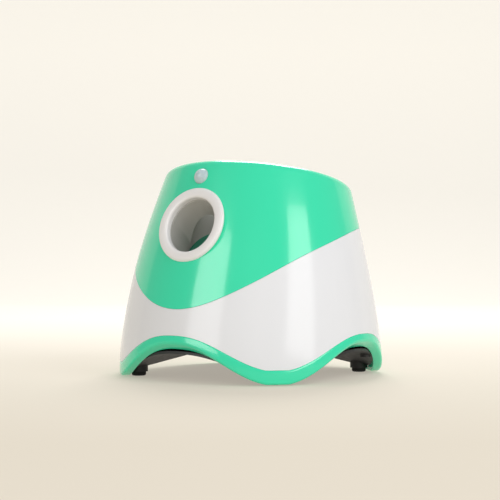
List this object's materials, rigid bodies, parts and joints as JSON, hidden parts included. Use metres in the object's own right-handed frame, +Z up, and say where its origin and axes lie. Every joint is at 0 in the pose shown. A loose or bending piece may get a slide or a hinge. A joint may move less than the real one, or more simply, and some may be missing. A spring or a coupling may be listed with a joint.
{
  "type": "automatic dog ball launcher",
  "caption": "Free-standing ball launcher for dogs: tilted hopper top, angled muzzle with a ring, arched base, and a spring striker drawn back by a geared motor.",
  "frame": {"origin": "middle of the footprint, on the floor under the rubber feet", "axes": "+Z up, -Y out of the muzzle (the front), +X to the left-hand side of a dog facing the muzzle"},
  "size_m": [0.2562, 0.2556, 0.2048],
  "materials": {
    "mint_plastic": "moulded, satin gloss",
    "white_plastic": "moulded, satin gloss",
    "inner_white_plastic": "moulded, matt",
    "ring_white_plastic": "moulded, satin",
    "lens_plastic": "milky, translucent",
    "mint_keys": "moulded, fine matt",
    "black_plastic": "moulded, fine texture",
    "grey_plastic": "moulded",
    "green_rubber": "soft facing",
    "black_rubber": "matt",
    "nylon": "self-lubricating",
    "brass": "machined",
    "ground_steel": "ground",
    "zinc_screws": "zinc plated",
    "spring_steel": "drawn wire",
    "nickel_can": "nickel plated",
    "nickel_strip": "nickel plated",
    "circuit_board": "solder mask",
    "cell_jacket": "plain jacket",
    "clear_plastic": "clear"
  },
  "bodies": {
    "housing": {"upper_shell": "mint_plastic", "lower_shell": "white_plastic", "base_trim": "mint_plastic", "base_pan": "black_plastic", "rubber_feet": "black_rubber", "pan_screws": "zinc_screws", "hopper": "inner_white_plastic", "chute": "inner_white_plastic", "chute_screws": "zinc_screws", "barrel": "inner_white_plastic", "muzzle_ring": "ring_white_plastic", "pir_lens": "lens_plastic", "pir_sensor": "nickel_can", "pir_board": "circuit_board", "pir_screws": "zinc_screws", "ball_sensors": "black_plastic", "striker_spring": "spring_steel", "spring_cap": "grey_plastic", "bar_guide": "grey_plastic", "motor": "nickel_can", "motor_screws": "zinc_screws", "gear_axles": "ground_steel", "axle_clips": "spring_steel", "frame_left": "grey_plastic", "frame_right": "grey_plastic", "frame_spacers": "ground_steel", "frame_screws": "zinc_screws", "tab_screws": "zinc_screws", "battery_box": "black_plastic", "battery_cells": "cell_jacket", "battery_contacts": "nickel_strip", "contact_springs": "nickel_strip", "battery_door": "black_plastic", "control_board": "circuit_board", "board_screws": "zinc_screws", "tact_switches": "black_plastic", "light_pipes": "clear_plastic", "status_leds": "clear_plastic", "buzzer": "black_plastic", "dc_jack": "black_plastic"},
    "striker": {"striker_head": "green_rubber", "striker_bar": "nylon"},
    "sector_wheel": {"sector_gear": "nylon"},
    "second_wheel": {"second_gear": "nylon"},
    "first_wheel": {"first_gear": "nylon"},
    "motor_rotor": {"motor_pinion": "brass", "motor_shaft": "ground_steel"},
    "power_key": {"power_button": "mint_keys"},
    "range_key": {"range_button": "mint_keys"}
  },
  "joints": [
    {"name": "sector_turn", "type": "hinge", "parent": "housing", "child": "sector_wheel", "pos_m": [0, 0.00625, 0.09009], "axis": [1, 0, 0], "range_deg": [0, 104]},
    {"name": "striker_slide", "type": "slide", "parent": "housing", "child": "striker", "axis": [0, 0.766, -0.6428], "range_m": [0, 0.03], "stiffness_N_per_m": 150, "springref_m": -0.012, "deforming": ["striker_spring"]},
    {"name": "second_turn", "type": "hinge", "parent": "housing", "child": "second_wheel", "pos_m": [0, 0.03001, 0.08675], "axis": [1, 0, 0], "range_deg": [-312.01, 0]},
    {"name": "first_turn", "type": "hinge", "parent": "housing", "child": "first_wheel", "pos_m": [0, 0.05401, 0.08675], "axis": [1, 0, 0], "range_deg": [0, 936.01]},
    {"name": "motor_turn", "type": "hinge", "parent": "housing", "child": "motor_rotor", "pos_m": [0, 0.07801, 0.08675], "axis": [1, 0, 0], "range_deg": [-2808.01, 0]},
    {"name": "power_press", "type": "slide", "parent": "housing", "child": "power_key", "axis": [0, -0.9881, -0.1537], "range_m": [0, 0.0012], "stiffness_N_per_m": 400},
    {"name": "range_press", "type": "slide", "parent": "housing", "child": "range_key", "axis": [0, -0.9881, -0.1537], "range_m": [0, 0.0012], "stiffness_N_per_m": 400}
  ],
  "couplings": [
    {"joint": "striker_slide", "follows": "sector_turn", "m_per_rad": 0.0165},
    {"joint": "second_turn", "follows": "sector_turn", "ratio": -3},
    {"joint": "first_turn", "follows": "sector_turn", "ratio": 9},
    {"joint": "motor_turn", "follows": "sector_turn", "ratio": -27}
  ]
}
